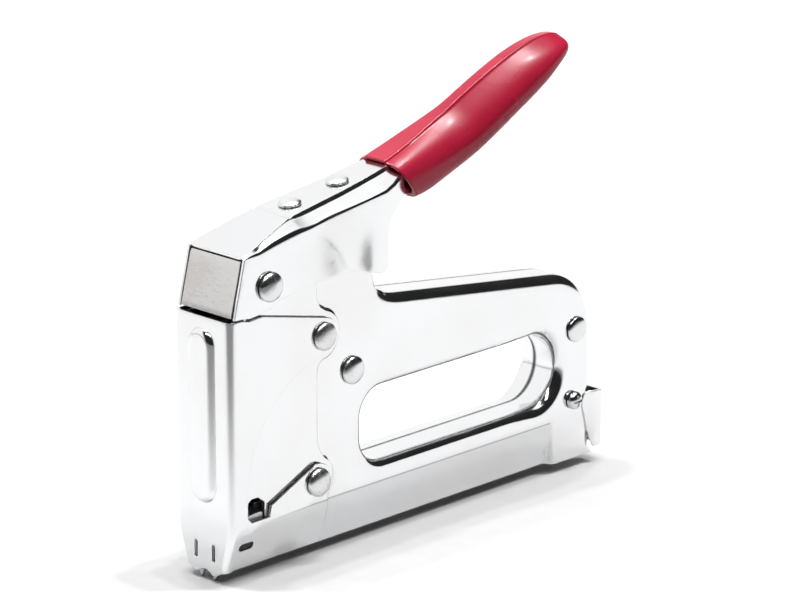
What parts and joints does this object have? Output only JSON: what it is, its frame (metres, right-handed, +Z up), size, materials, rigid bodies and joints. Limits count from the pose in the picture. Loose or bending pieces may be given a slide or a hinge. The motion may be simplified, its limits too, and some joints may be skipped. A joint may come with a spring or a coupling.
{
  "type": "staple gun",
  "caption": "Hand staple gun: pressed steel body with a finger opening, hinged lever with a vinyl grip, sliding magazine and spring-driven hammer.",
  "frame": {"origin": "middle of the bottom of the bounding box, under the tips of the two prongs at the nose", "axes": "+X from the nose to the rear, along the magazine; +Y from the left side to the right side; +Z up"},
  "size_m": [0.175, 0.0316, 0.1502],
  "materials": {
    "chrome_sheet": "bright nickel and chrome plate",
    "rivets": "bright plate",
    "inner_steel": "zinc plate",
    "dark_steel": "oiled, heat treated",
    "staple_wire": "galvanised",
    "fibre": "pressed fibre",
    "red_vinyl": "dipped, glossy"
  },
  "bodies": {
    "body": {"left_shell": "chrome_sheet", "right_shell": "chrome_sheet", "nose_plate": "chrome_sheet", "guide_plate": "inner_steel", "guide_bracket": "inner_steel", "spring_seat": "inner_steel", "bumper": "fibre", "staple_rail": "inner_steel", "staple_strip": "staple_wire", "pivot_rivet": "rivets", "upper_rivet": "rivets", "middle_rivet": "rivets", "lower_rivet": "rivets", "rear_rivet": "rivets", "latch_stud": "rivets"},
    "handle": {"lever": "chrome_sheet", "lever_liner": "inner_steel", "roller_pin": "dark_steel", "lever_rivet_1": "rivets", "lever_rivet_2": "rivets", "grip_sleeve": "red_vinyl"},
    "lifter": {"lifting_lever": "dark_steel"},
    "hammer": {"plunger": "dark_steel", "driver_blade": "inner_steel", "main_spring": "dark_steel"},
    "magazine": {"rear_latch": "chrome_sheet", "pusher_rod": "inner_steel", "pusher_spring": "dark_steel"},
    "follower": {"pusher": "inner_steel"}
  },
  "joints": [
    {"name": "lever_hinge", "type": "hinge", "parent": "body", "child": "handle", "pos_m": [-0.06895, 0, 0.0955], "axis": [0, 1, 0], "range_deg": [0, 21], "stiffness_Nm_per_rad": 10, "springref_deg": -8.59},
    {"name": "lifter_hinge", "type": "hinge", "parent": "body", "child": "lifter", "pos_m": [-0.04535, 0, 0.0741], "axis": [0, 1, 0], "range_deg": [0, 42.01]},
    {"name": "hammer_slide", "type": "slide", "parent": "body", "child": "hammer", "axis": [0, 0, 1], "range_m": [0, 0.01255], "deforming": ["main_spring"]},
    {"name": "magazine_slide", "type": "slide", "parent": "body", "child": "magazine", "axis": [1, 0, 0], "range_m": [0, 0.12]},
    {"name": "pusher_slide", "type": "slide", "parent": "magazine", "child": "follower", "axis": [1, 0, 0], "range_m": [0, 0.07], "stiffness_N_per_m": 30, "springref_m": -0.08, "deforming": ["pusher_spring"]}
  ],
  "couplings": [
    {"joint": "lifter_hinge", "follows": "lever_hinge", "ratio": 2},
    {"joint": "hammer_slide", "follows": "lever_hinge", "m_per_rad": 0.034222}
  ]
}
